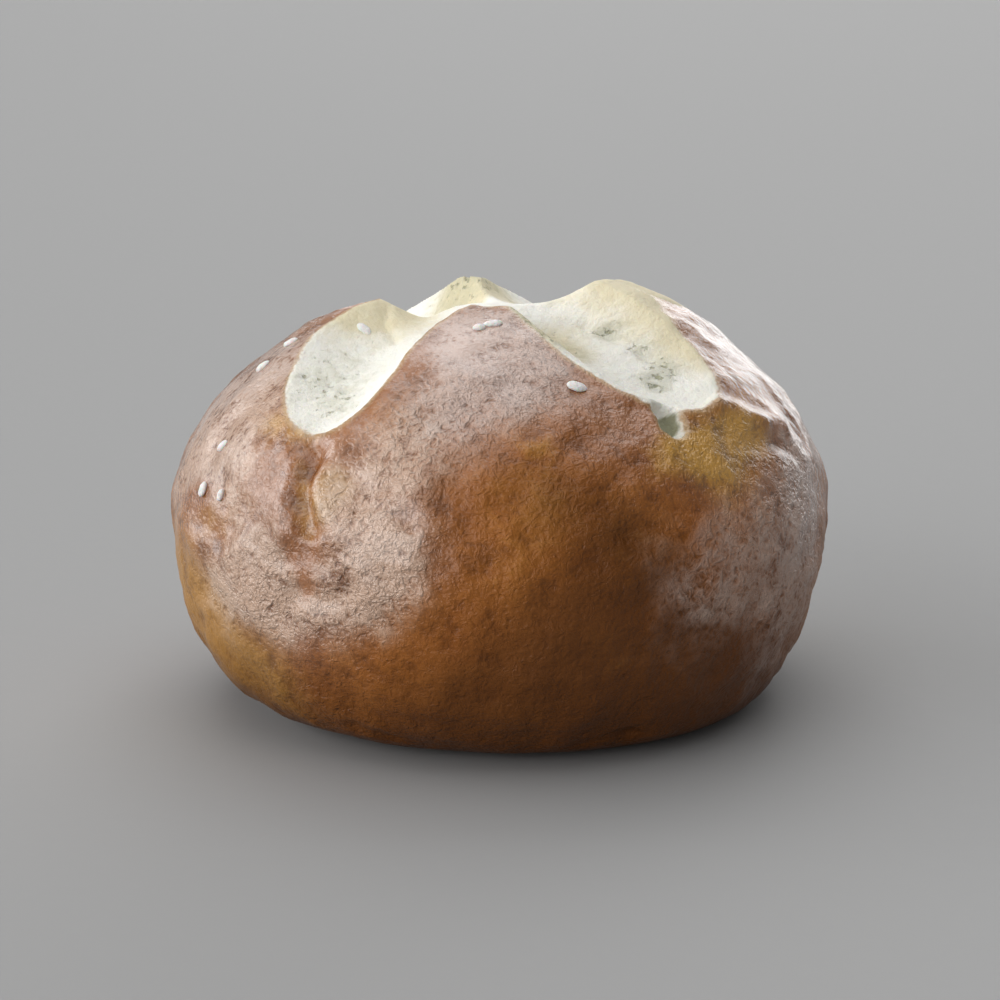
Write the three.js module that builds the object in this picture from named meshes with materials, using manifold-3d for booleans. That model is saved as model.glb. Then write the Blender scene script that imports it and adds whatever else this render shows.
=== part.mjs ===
// A round lye-dipped bread roll. The cross cut in its top has baked open into four crust lobes round a
// pale crumb plateau, and a few coarse salt grains stick to it. It is one solid with the grains fused on.
// Millimetres and degrees, +Z up. The origin is the middle of the flat foot. Azimuth 0 is +X, 90 is +Y,
// and the front of the roll faces -Y.
import * as THREE from 'three';
import { mergeVertices } from 'three/addons/utils/BufferGeometryUtils.js';
import Module from 'manifold-3d';

const { clamp, degToRad, lerp, smoothstep } = THREE.MathUtils;

// ---- the roll's outside, before the cut ----
const ROLL_RADIUS = 47.5;
const WAIST_HEIGHT = 26; // where the roll is widest
const DOME_HEIGHT = 33; // from the waist to the top
const UNDER_DEPTH = 42; // from the waist to where the underside would end, had it baked hanging
const UNDER_FULLNESS = 0.98; // below 1 the side is fuller than an ellipse
const FOOT_ROUNDING = 6; // how softly the side turns into the flat foot
const FOOT_SWAY = 4.4; // how much the rounding grows towards FOOT_SWAY_AZIMUTH, and shrinks opposite
const FOOT_SWAY_AZIMUTH = -128;
const FOOT_FADE = 4; // relief dies out over this height above the foot
const FOOT_RIM_LIFT = 0.2; // the foot's rim clears the table by this, and the roll stands on the plate
const FOOT_PLATE_RADIUS = 20; // corners of the plate, one large triangle in the middle of the foot

// ---- the cross cut ----
// Each arm runs out from the middle. Its edge towards lower azimuths is `left`, the other is `right`.
// half: the arm's half-width on that side. steep: 1 is a soft shoulder, less is a steeper wall.
// lip: how far the crust stands up along that edge. waist: the width of that side next to the middle, as a
// share of half. valley: where the deepest line runs, -1 is the left edge and 1 is the right one. twist: how
// the axis turns, in degrees for each millimetre inwards.
const CUT_ARMS = [
  {
    azimuth: -129.2, reach: 39.8, twist: -0.79, depth: 4.8, valley: 0.35,
    left: { half: 9.2, steep: 0.6, lip: 0.3, waist: 1 },
    right: { half: 10.3, steep: 0.55, lip: 0, waist: 0.85 },
  },
  {
    azimuth: -45, reach: 37.5, twist: 0, depth: 5.2, valley: -0.35,
    left: { half: 12.2, steep: 1, lip: 0, waist: 0.6 },
    right: { half: 10.8, steep: 0.6, lip: 0.3, waist: 1 },
  },
  {
    azimuth: 53, reach: 39, twist: -0.1, depth: 5.4, valley: 0,
    left: { half: 9, steep: 0.6, lip: 0.3, waist: 1 },
    right: { half: 14.5, steep: 0.5, lip: 0.4, waist: 0.75 },
  },
  {
    azimuth: 133, reach: 40, twist: -0.2, depth: 7.2, valley: 0,
    left: { half: 8.3, steep: 0.6, lip: 0.4, waist: 0.62 },
    right: { half: 13.2, steep: 0.5, lip: 0.2, waist: 1 },
  },
];
const PLATEAU_DEPTH = 2.6; // of the crumb in the middle, below the dome
const PLATEAU_EDGE = [10.2, 5.5]; // distance from the middle where it begins and where it is level
const WAIST_END = 0.7; // share of its reach at which an arm has its own width
const FULL_DEPTH_AT = 0.36; // share of its reach at which an arm has its own depth
const TIP_ROUNDNESS = 6; // power of the curve that closes an arm's outline at its end
const FLOOR_ROUNDNESS = 4; // the same for the rise of its floor
const FLOOR_RISE = 0.7;
const ARM_BLEND = 0.8; // rounding where the floors of two arms meet
const LIP_OUTSIDE = 4; // how far a lip spreads over the crust
const LIP_INSIDE = 1.5; // and into the cut
const LIP_START = 8; // distance from the middle where lips begin
// The crust has torn a little further below the end of the front right arm.
const TEAR = { from: [-53.3, 47.2], to: [-54.3, 45.1], width: 2, depth: 2.8, steep: 1.8 };

// ---- broad swells and hollows: place on the body as [azimuth, height] ----
const SWELLS = [
  { at: [8, 56], across: 8, rise: 1.7 },
  { at: [30, 53], across: 9, rise: 1.2 },
  { at: [-172, 52.5], across: 7, rise: 0.7 },
  { at: [180, 23], across: 6, rise: -0.9 },
  { at: [180, 10], across: 6, rise: 0.9 },
  { at: [109, 56.2], across: 4.2, rise: 1.4 },
  { at: [-177, 57.95], across: 2.6, rise: -1.7 },
  { at: [-10, 14], across: 8, rise: -1 },
];

// ---- creases, dents and ridges in the crust, each along a short line ----
const CREASES = [
  // where the left lobe's wall meets the crumb in the middle, and the bottom of the front right arm
  { from: [-174.4, 56.8], to: [-148.4, 56.3], width: 0.9, rise: -0.7 },
  { from: [-27.4, 57.4], to: [-35.6, 53], width: 1.1, rise: -0.8 },
  // the crack that runs down from the front left arm, with its two banks
  { from: [-127, 42], to: [-122, 33], width: 1.6, rise: -1.6 },
  { from: [-131, 42], to: [-125.5, 31.5], width: 2.2, rise: 0.6 },
  { from: [-121, 42], to: [-118.5, 33], width: 2.6, rise: 0.5 },
  // the wrinkle that runs right from the front right arm
  { from: [-40, 45.8], to: [-22, 41.5], width: 1.4, rise: 0.8 },
  { from: [-41, 43], to: [-24, 38.5], width: 2.2, rise: -0.6 },
  // the edge of the smoother skin on the left
  { from: [-103, 42], to: [-102, 26], width: 3, rise: 0.45 },
  // dents on the left side
  { from: [-146, 30.5], to: [-140, 31], width: 3, rise: -0.8 },
  { from: [-125, 29.3], to: [-119, 29.8], width: 2.2, rise: -0.8 },
  { from: [-124, 23.6], to: [-115, 25.8], width: 1.8, rise: -0.8 },
  // grooves on the right of the front
  { from: [-74, 36.5], to: [-67, 33], width: 2.4, rise: -0.5 },
  { from: [-66, 25], to: [-57, 27], width: 2.4, rise: -0.5 },
  // the fold just above the foot
  { from: [-117, 4.6], to: [-64, 3.6], width: 1.6, rise: -0.8 },
  // cracks below the arms at the back
  { from: [58, 43], to: [61, 35], width: 1.8, rise: -1.2 },
  { from: [139, 42], to: [136, 36], width: 1.7, rise: -1 },
];

const CROOK = 0.6; // how far creases stray to the side, in waves of CROOK_LENGTH
const CROOK_LENGTH = 8;

// ---- uneven crust: sums of plane waves, coarse to fine ----
const LUMPS = [
  { wavelength: 34, rise: 0.35 },
  { wavelength: 13, rise: 0.2 },
  { wavelength: 6.5, rise: 0.12 },
];
const WAVES = 7; // directions in each sum
const GOLDEN_ANGLE = Math.PI * (3 - Math.sqrt(5));

// ---- salt grains: place as [azimuth, height], full length and width ----
const FRONT_SALT = [
  { at: [-158.6, 55.6], length: 2.6, width: 1.5, turn: 10 },
  { at: [-164.5, 51.6], length: 2.4, width: 1.3, turn: 60 },
  { at: [-160.6, 48.8], length: 2.3, width: 1.2, turn: 70 },
  { at: [-150.4, 34.4], length: 2.2, width: 1.4, turn: 90 },
  { at: [-144.5, 34.6], length: 1.8, width: 1.1, turn: 80 },
  { at: [-150.3, 40.1], length: 2.3, width: 1.3, turn: 40 },
  { at: [-98, 55.9], length: 1.7, width: 1.5, turn: 0 },
  { at: [-92.7, 56.2], length: 2.6, width: 1.4, turn: 5 },
  { at: [-72, 50.1], length: 2.7, width: 1.7, turn: -20 },
];
const BACK_SALT_COUNT = 7; // the same sprinkling goes on round the back
const BACK_SALT_FROM = 15;
const BACK_SALT_TO = 165;
const BACK_SALT_HEIGHTS = [36, 55];
const BACK_SALT_SIZE = { length: 2.3, width: 1.4 };
const GRAIN_THICKNESS = 0.9;
const GRAIN_PROUD = 0.2; // of its half thickness, from the crust to the grain's middle

// ---- how finely the surface is divided ----
const SPOKES = 100;
const SPOKE_GATHER = 0.3; // spokes stand closer together in the arms by about this share
const SPOKE_GATHER_AZIMUTH = -39;
const ARM_COUNT = 4;
const RING_STEP = 1.5; // down the profile, over the cut
const RING_STEP_SIDE = 2.9; // down the sides
const RING_STEP_CHANGE = [42, 56]; // distance from the top over which the step grows
const PROFILE_STEPS = 4000; // for measuring along the profile
const NUDGE = 1e-4; // for slopes taken by small differences

// ---------------------------------------------------------------- the body before the cut

// The underside is lifted to the foot plane: 0 below -rounding, unchanged above rounding.
function softFloor(height, rounding) {
  const share = clamp(0.5 + (0.5 * height) / rounding, 0, 1);
  return height * share + rounding * share * (1 - share);
}

// Distance from the axis and height, at a polar angle (0 at the top, PI below) and an azimuth in radians.
function profile(polar, azimuth) {
  const sine = Math.sin(polar);
  const cosine = Math.cos(polar);
  if (cosine >= 0) return { radius: ROLL_RADIUS * sine, height: WAIST_HEIGHT + DOME_HEIGHT * cosine };
  const rounding = FOOT_ROUNDING + FOOT_SWAY * Math.cos(azimuth - degToRad(FOOT_SWAY_AZIMUTH));
  const hanging = WAIST_HEIGHT - UNDER_DEPTH * Math.pow(-cosine, UNDER_FULLNESS);
  return {
    radius: ROLL_RADIUS * Math.pow(Math.max(sine, 0), UNDER_FULLNESS),
    height: Math.max(softFloor(hanging, rounding), FOOT_RIM_LIFT),
  };
}

function toPoint(radius, height, azimuth) {
  return new THREE.Vector3(radius * Math.cos(azimuth), radius * Math.sin(azimuth), height);
}

function outward(polar, azimuth) {
  const above = profile(polar - NUDGE, azimuth);
  const below = profile(polar + NUDGE, azimuth);
  return toPoint(above.height - below.height, below.radius - above.radius, azimuth).normalize();
}

// The polar angle of a height on the body, well above the foot.
function polarAt(height) {
  const rise = height - WAIST_HEIGHT;
  if (rise >= 0) return Math.acos(Math.min(rise / DOME_HEIGHT, 1));
  return Math.PI - Math.acos(Math.pow(-rise / UNDER_DEPTH, 1 / UNDER_FULLNESS));
}

function placeOnBody([azimuth, height]) {
  const angle = degToRad(azimuth);
  const { radius, height: level } = profile(polarAt(height), angle);
  return toPoint(radius, level, angle);
}

// ---------------------------------------------------------------- the cut

// Depth from edge to valley to edge. across: -1 at the left edge, 1 at the right one.
function crossSection(arm, across) {
  const side = across < arm.valley ? arm.left : arm.right;
  const fromEdge = across < arm.valley
    ? (across + 1) / (arm.valley + 1)
    : (1 - across) / (1 - arm.valley);
  return Math.sin((Math.PI / 2) * Math.pow(clamp(fromEdge, 0, 1), side.steep)) ** 2;
}

// One arm at a place on the dome: its depth, how far inside its outline the place is, and its lip.
function armAt(arm, radius, azimuth) {
  const turn = azimuth - degToRad(arm.azimuth + arm.twist * (arm.reach - radius));
  const along = Math.max(radius * Math.cos(turn), 0);
  const sideways = along > 0 ? radius * Math.sin(turn) : radius * Math.sign(Math.sin(turn));
  const side = sideways < 0 ? arm.left : arm.right;
  const half = side.half * lerp(side.waist, 1, smoothstep(along / arm.reach, 0, WAIST_END));
  const tip = (along / arm.reach) ** TIP_ROUNDNESS;
  const level = 1 - (sideways / half) ** 2 - tip;
  const slope = Math.hypot(
    (2 * sideways) / half ** 2,
    along > 0 ? (TIP_ROUNDNESS * tip) / along : 0,
    1 / half,
  );
  const inside = level / slope;
  const lean = smoothstep(0.5 + (0.5 * sideways) / arm.left.half, 0, 1);
  const lipSpread = inside < 0 ? LIP_OUTSIDE : LIP_INSIDE;
  const lip = lerp(arm.left.lip, arm.right.lip, lean) * Math.exp(-Math.abs(inside) / lipSpread)
    * smoothstep(radius, LIP_START, 2 * LIP_START);
  if (inside <= 0) return { depth: 0, inside, lip };
  const across = sideways / (half * Math.sqrt(Math.max(1 - tip, NUDGE)));
  const own = smoothstep(along, 0, FULL_DEPTH_AT * arm.reach);
  const endRise = Math.max(1 - (along / arm.reach) ** FLOOR_ROUNDNESS, 0) ** FLOOR_RISE;
  const depth = lerp(PLATEAU_DEPTH, arm.depth, own) * endRise * crossSection(arm, across);
  return { depth, inside, lip };
}

// The larger of two depths, rounded where they are about the same.
function softDeeper(first, second) {
  if (Math.min(first, second) <= 0) return Math.max(first, second);
  const share = clamp(0.5 + (0.5 * (first - second)) / ARM_BLEND, 0, 1);
  return lerp(second, first, share) + ARM_BLEND * share * (1 - share);
}

const alongLine = new THREE.Vector3();
function distanceToLine(point, line) {
  return line.closestPointToPoint(point, true, alongLine).distanceTo(point);
}

const tearLine = new THREE.Line3(placeOnBody(TEAR.from), placeOnBody(TEAR.to));

// How far the cut changes the dome at a point of it: lips up, crumb down.
function cutRise(point, radius, azimuth) {
  const [plateauStart, plateauLevel] = PLATEAU_EDGE;
  let depth = PLATEAU_DEPTH * smoothstep(plateauStart - radius, 0, plateauStart - plateauLevel);
  let lip = 0;
  for (const arm of CUT_ARMS) {
    const here = armAt(arm, radius, azimuth);
    depth = softDeeper(depth, here.depth);
    lip = Math.max(lip, here.lip);
  }
  const inTear = 1 - distanceToLine(point, tearLine) / TEAR.width;
  const tearDepth = TEAR.depth * Math.sin((Math.PI / 2) * clamp(inTear * TEAR.steep, 0, 1));
  return lip - Math.max(depth, tearDepth);
}

// ---------------------------------------------------------------- relief

const swellCentres = SWELLS.map((swell) => placeOnBody(swell.at));
const creaseLines = CREASES.map(({ from, to }) => new THREE.Line3(placeOnBody(from), placeOnBody(to)));

function swellRise(point) {
  return SWELLS.reduce((sum, swell, index) => {
    const distance = point.distanceTo(swellCentres[index]);
    return sum + swell.rise * Math.exp(-0.5 * (distance / swell.across) ** 2);
  }, 0);
}

// Creases are a little crooked: the point is shifted in waves before its distances are taken.
function creaseRise({ x, y, z }) {
  const stray = (value) => CROOK * Math.sin((2 * Math.PI * value) / CROOK_LENGTH);
  const point = new THREE.Vector3(x + stray(y), y + stray(z), z + stray(x));
  return CREASES.reduce((sum, crease, index) => {
    const distance = distanceToLine(point, creaseLines[index]);
    return sum + crease.rise * Math.exp(-((distance / crease.width) ** 2));
  }, 0);
}

// Wave directions are spread evenly over a sphere.
function waveDirection(index) {
  const height = 1 - (2 * (index + 0.5)) / WAVES;
  return toPoint(Math.sqrt(1 - height * height), height, index * GOLDEN_ANGLE);
}
const waveDirections = Array.from({ length: WAVES }, (_, index) => waveDirection(index));

function lumpRise(point) {
  let sum = 0;
  for (const { wavelength, rise } of LUMPS) {
    const rate = (2 * Math.PI) / wavelength;
    waveDirections.forEach((direction, index) => {
      sum += (rise / Math.sqrt(WAVES)) * Math.sin(rate * point.dot(direction) + index * index);
    });
  }
  return sum;
}

// A point of the finished surface.
function surfacePoint(polar, azimuth) {
  const { radius, height } = profile(polar, azimuth);
  const point = toPoint(radius, height, azimuth);
  let rise = swellRise(point) + creaseRise(point) + lumpRise(point);
  if (height > WAIST_HEIGHT) rise += cutRise(point, radius, azimuth);
  rise *= smoothstep(height, 0, FOOT_FADE);
  return point.addScaledVector(outward(polar, azimuth), rise);
}

// ---------------------------------------------------------------- the roll's mesh

// Polar angles of the rings, spaced by the distance down the profile, ending on the foot's rim.
function ringPolars() {
  const hangingEnd = WAIST_HEIGHT + FOOT_ROUNDING + FOOT_SWAY;
  const lastPolar = Math.PI - Math.acos(Math.pow(hangingEnd / UNDER_DEPTH, 1 / UNDER_FULLNESS));
  const polars = [0];
  let previous = profile(0, 0);
  let run = 0;
  let nextRing = RING_STEP;
  for (let step = 1; step <= PROFILE_STEPS; step += 1) {
    const polar = (lastPolar * step) / PROFILE_STEPS;
    const here = profile(polar, 0);
    run += Math.hypot(here.radius - previous.radius, here.height - previous.height);
    previous = here;
    if (run >= nextRing) {
      polars.push(polar);
      nextRing += lerp(RING_STEP, RING_STEP_SIDE, smoothstep(run, ...RING_STEP_CHANGE));
    }
  }
  return [...polars, lastPolar];
}

function spokeAzimuth(share) {
  const even = 2 * Math.PI * share;
  const offset = ARM_COUNT * (even - degToRad(SPOKE_GATHER_AZIMUTH));
  return even - (SPOKE_GATHER / ARM_COUNT) * Math.sin(offset);
}

// A sphere's grid of rings and spokes, open below, is moved onto the roll and closed by the foot.
function rollGeometry() {
  const polars = ringPolars();
  const ringCount = polars.length - 1;
  const openBelow = Math.PI / 2;
  const grid = new THREE.SphereGeometry(1, SPOKES, ringCount, 0, 2 * Math.PI, 0, openBelow);
  const { uv } = grid.attributes;
  const places = [];
  for (let index = 0; index < uv.count; index += 1) {
    const ring = Math.floor(index / (SPOKES + 1));
    const spoke = index % (SPOKES + 1);
    places.push(...surfacePoint(polars[ring], spokeAzimuth((spoke % SPOKES) / SPOKES)));
  }
  const faces = [...grid.index.array];
  const lastRing = ringCount * (SPOKES + 1);
  const plate = uv.count;
  const plateCorners = 3;
  for (let corner = 0; corner < plateCorners; corner += 1) {
    places.push(...toPoint(FOOT_PLATE_RADIUS, 0, (2 * Math.PI * (corner + 0.5)) / plateCorners));
  }
  for (let spoke = 0; spoke < SPOKES; spoke += 1) {
    const corner = Math.floor((plateCorners * spoke) / SPOKES);
    const nextCorner = Math.floor((plateCorners * (spoke + 1)) / SPOKES) % plateCorners;
    faces.push(lastRing + spoke + 1, lastRing + spoke, plate + corner);
    if (corner !== nextCorner) faces.push(lastRing + spoke + 1, plate + corner, plate + nextCorner);
  }
  faces.push(plate + 2, plate + 1, plate);
  const geometry = new THREE.BufferGeometry();
  geometry.setAttribute('position', new THREE.Float32BufferAttribute(places, 3));
  geometry.setIndex(faces);
  return geometry;
}

// ---------------------------------------------------------------- salt

// The same sprinkling for the back: even steps round it, at heights and turns that follow a golden step.
function backSalt() {
  const golden = GOLDEN_ANGLE / (2 * Math.PI);
  return Array.from({ length: BACK_SALT_COUNT }, (_, index) => {
    const share = (index + 0.5) / BACK_SALT_COUNT;
    const mixed = (index * golden) % 1;
    const azimuth = lerp(BACK_SALT_FROM, BACK_SALT_TO, share);
    return { at: [azimuth, lerp(...BACK_SALT_HEIGHTS, mixed)], ...BACK_SALT_SIZE, turn: 180 * mixed };
  });
}

// A flat rounded grain, sunk into the surface that it sticks to.
function grainGeometry({ at, length, width, turn }) {
  const azimuth = degToRad(at[0]);
  const polar = polarAt(at[1]);
  const spot = surfacePoint(polar, azimuth);
  const down = surfacePoint(polar + NUDGE, azimuth).sub(spot);
  const round = surfacePoint(polar, azimuth + NUDGE).sub(spot);
  const up = down.clone().cross(round).normalize();
  const side = round.normalize();
  const frame = new THREE.Matrix4().makeBasis(side, up.clone().cross(side), up);
  const geometry = new THREE.OctahedronGeometry(1, 1);
  geometry.scale(length / 2, width / 2, GRAIN_THICKNESS / 2);
  geometry.rotateZ(degToRad(turn));
  geometry.applyMatrix4(frame);
  spot.addScaledVector(up, (GRAIN_PROUD * GRAIN_THICKNESS) / 2);
  geometry.translate(spot.x, spot.y, spot.z);
  return geometry;
}

// ---------------------------------------------------------------- joining

const wasm = await Module();
wasm.setup();

function toSolid(geometry) {
  geometry.deleteAttribute('normal');
  geometry.deleteAttribute('uv');
  const merged = mergeVertices(geometry);
  return new wasm.Manifold(new wasm.Mesh({
    numProp: 3,
    vertProperties: new Float32Array(merged.attributes.position.array),
    triVerts: new Uint32Array(merged.index.array),
  }));
}

function toGeometry(solid) {
  const mesh = solid.getMesh();
  const geometry = new THREE.BufferGeometry();
  geometry.setAttribute('position', new THREE.BufferAttribute(mesh.vertProperties, mesh.numProp));
  geometry.setIndex(new THREE.BufferAttribute(mesh.triVerts, 1));
  geometry.computeVertexNormals();
  return geometry;
}

function pretzelRoll() {
  const salt = [...FRONT_SALT, ...backSalt()];
  const body = toSolid(rollGeometry());
  const salted = salt.reduce((solid, grain) => solid.add(toSolid(grainGeometry(grain))), body);
  const crust = new THREE.MeshStandardMaterial({ color: 0x8a4c24, roughness: 0.45, metalness: 0 });
  const mesh = new THREE.Mesh(toGeometry(salted), crust);
  mesh.name = 'pretzel_roll';
  return mesh;
}

const roll = new THREE.Group();
roll.add(pretzelRoll());

export default roll;
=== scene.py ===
"""A pretzel roll: a round lye-dipped bread roll with a glossy brown crust. The cross cut in its top has
baked open to pale crumb, and a few coarse salt grains stick to it.

The shape is worked out in millimetres and degrees. Azimuth 0 is +X, 90 is +Y, and the front faces -Y."""

import math
from typing import NamedTuple

import bmesh
import bpy
import numpy as np
from bpy.props import FloatProperty, FloatVectorProperty, IntProperty, PointerProperty
from mathutils import Matrix, Vector


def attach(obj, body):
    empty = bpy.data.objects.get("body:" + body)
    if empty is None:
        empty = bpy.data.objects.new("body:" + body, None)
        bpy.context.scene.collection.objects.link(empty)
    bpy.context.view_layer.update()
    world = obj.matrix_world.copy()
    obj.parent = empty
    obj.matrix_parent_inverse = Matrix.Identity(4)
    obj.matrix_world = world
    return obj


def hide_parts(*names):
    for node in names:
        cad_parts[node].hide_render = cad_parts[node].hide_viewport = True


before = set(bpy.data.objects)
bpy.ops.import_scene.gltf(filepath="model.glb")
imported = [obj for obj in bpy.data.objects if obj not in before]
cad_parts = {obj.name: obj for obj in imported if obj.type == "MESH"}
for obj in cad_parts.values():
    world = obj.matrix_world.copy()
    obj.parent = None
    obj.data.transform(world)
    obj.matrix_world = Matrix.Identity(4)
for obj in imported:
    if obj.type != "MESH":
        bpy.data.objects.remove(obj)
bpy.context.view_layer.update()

bl_info = {
    "name": "Pretzel Roll",
    "version": (1, 0, 0),
    "blender": (4, 5, 0),
    "location": "3D View > Sidebar > Pretzel Roll",
    "description": "Bakes a pretzel roll with a cross cut and coarse salt",
    "category": "Add Mesh",
}

MM = 0.001
GOLDEN_ANGLE = math.pi * (3 - math.sqrt(5))

# ---------------- the roll's form, in millimetres and degrees

ROLL_RADIUS = 47.5
WAIST_HEIGHT = 26.0  # where the roll is widest
DOME_HEIGHT = 33.0  # from the waist to the top
UNDER_DEPTH = 42.0  # from the waist to where the underside would end, had it baked hanging
UNDER_FULLNESS = 0.98  # below 1 the side is fuller than an ellipse
FOOT_ROUNDING = 6.0  # how softly the side turns into the flat foot
FOOT_SWAY = 4.4  # how much the rounding grows towards FOOT_SWAY_AZIMUTH, and shrinks opposite
FOOT_SWAY_AZIMUTH = -128
FOOT_FADE = 4.0  # relief dies out over this height above the foot


class Side(NamedTuple):
    """One side of an arm of the cut. steep: 1 is a soft shoulder, less is a steeper wall.
    waist: its width next to the middle, as a share of its half width."""

    half: float
    steep: float
    lip: float
    waist: float = 1.0


class Arm(NamedTuple):
    """One arm of the cross cut. valley: where its deepest line runs, from -1, its left edge, to 1."""

    azimuth: float
    reach: float
    twist: float
    depth: float
    valley: float
    left: Side
    right: Side


CUT_ARMS = (
    Arm(-129.2, 39.8, -0.79, 4.8, 0.35, Side(9.2, 0.6, 0.3), Side(10.3, 0.55, 0, 0.85)),
    Arm(-45, 37.5, 0, 5.2, -0.35, Side(12.2, 1, 0, 0.6), Side(10.8, 0.6, 0.3)),
    Arm(53, 39, -0.1, 5.4, 0, Side(9, 0.6, 0.3), Side(14.5, 0.5, 0.4, 0.75)),
    Arm(133, 40, -0.2, 7.2, 0, Side(8.3, 0.6, 0.4, 0.62), Side(13.2, 0.5, 0.2)),
)
PLATEAU_DEPTH = 2.6  # of the crumb in the middle, below the dome
PLATEAU_EDGE = (10.2, 5.5)  # distance from the middle where it begins and where it is level
WAIST_END = 0.7  # share of its reach at which an arm has its own width
FULL_DEPTH_AT = 0.36  # share of its reach at which an arm has its own depth
TIP_ROUNDNESS = 6  # power of the curve that closes an arm's outline at its end
FLOOR_ROUNDNESS = 4  # the same for the rise of its floor
FLOOR_RISE = 0.7
ARM_BLEND = 0.8  # rounding where the floors of two arms meet
LIP_OUTSIDE = 4.0  # how far a lip spreads over the crust
LIP_INSIDE = 1.5  # and into the cut
LIP_START = 8.0  # distance from the middle where lips begin


class Crease(NamedTuple):
    """A crease, dent or ridge along a short line between two places [azimuth, height]."""

    start: tuple
    end: tuple
    width: float
    rise: float


class Spot(NamedTuple):
    """A round soft patch at a place [azimuth, height]."""

    at: tuple
    across: float
    amount: float


TEAR = Crease((-53.3, 47.2), (-54.3, 45.1), 2.0, -2.8)  # the crust has torn below the front right arm
TEAR_STEEPNESS = 1.8

SWELLS = (
    Spot((8, 56), 8, 1.7),
    Spot((30, 53), 9, 1.2),
    Spot((-172, 52.5), 7, 0.7),
    Spot((180, 23), 6, -0.9),
    Spot((180, 10), 6, 0.9),
    Spot((109, 56.2), 4.2, 1.4),
    Spot((-177, 57.95), 2.6, -1.7),
    Spot((-10, 14), 8, -1),
)
CREASES = (
    # where the left lobe's wall meets the crumb in the middle, and the bottom of the front right arm
    Crease((-174.4, 56.8), (-148.4, 56.3), 0.9, -0.7),
    Crease((-27.4, 57.4), (-35.6, 53), 1.1, -0.8),
    # the crack that runs down from the front left arm, with its two banks
    Crease((-127, 42), (-122, 33), 1.6, -1.6),
    Crease((-131, 42), (-125.5, 31.5), 2.2, 0.6),
    Crease((-121, 42), (-118.5, 33), 2.6, 0.5),
    # the wrinkle that runs right from the front right arm
    Crease((-40, 45.8), (-22, 41.5), 1.4, 0.8),
    Crease((-41, 43), (-24, 38.5), 2.2, -0.6),
    # the edge of the smoother skin on the left
    Crease((-103, 42), (-102, 26), 3, 0.45),
    # dents on the left side
    Crease((-146, 30.5), (-140, 31), 3, -0.8),
    Crease((-125, 29.3), (-119, 29.8), 2.2, -0.8),
    Crease((-124, 23.6), (-115, 25.8), 1.8, -0.8),
    # grooves on the right of the front
    Crease((-74, 36.5), (-67, 33), 2.4, -0.5),
    Crease((-66, 25), (-57, 27), 2.4, -0.5),
    # the fold just above the foot
    Crease((-117, 4.6), (-64, 3.6), 1.6, -0.8),
    # cracks below the arms at the back
    Crease((58, 43), (61, 35), 1.8, -1.2),
    Crease((139, 42), (136, 36), 1.7, -1),
)
CROOK = 0.6  # how far creases stray to the side, in waves of CROOK_LENGTH
CROOK_LENGTH = 8.0
LUMPS = ((34, 0.35), (13, 0.2), (6.5, 0.12))  # wavelength and rise of the uneven crust
WAVES = 7

NUDGE = 1e-4  # for slopes taken by small differences, and to keep a divisor off zero

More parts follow.
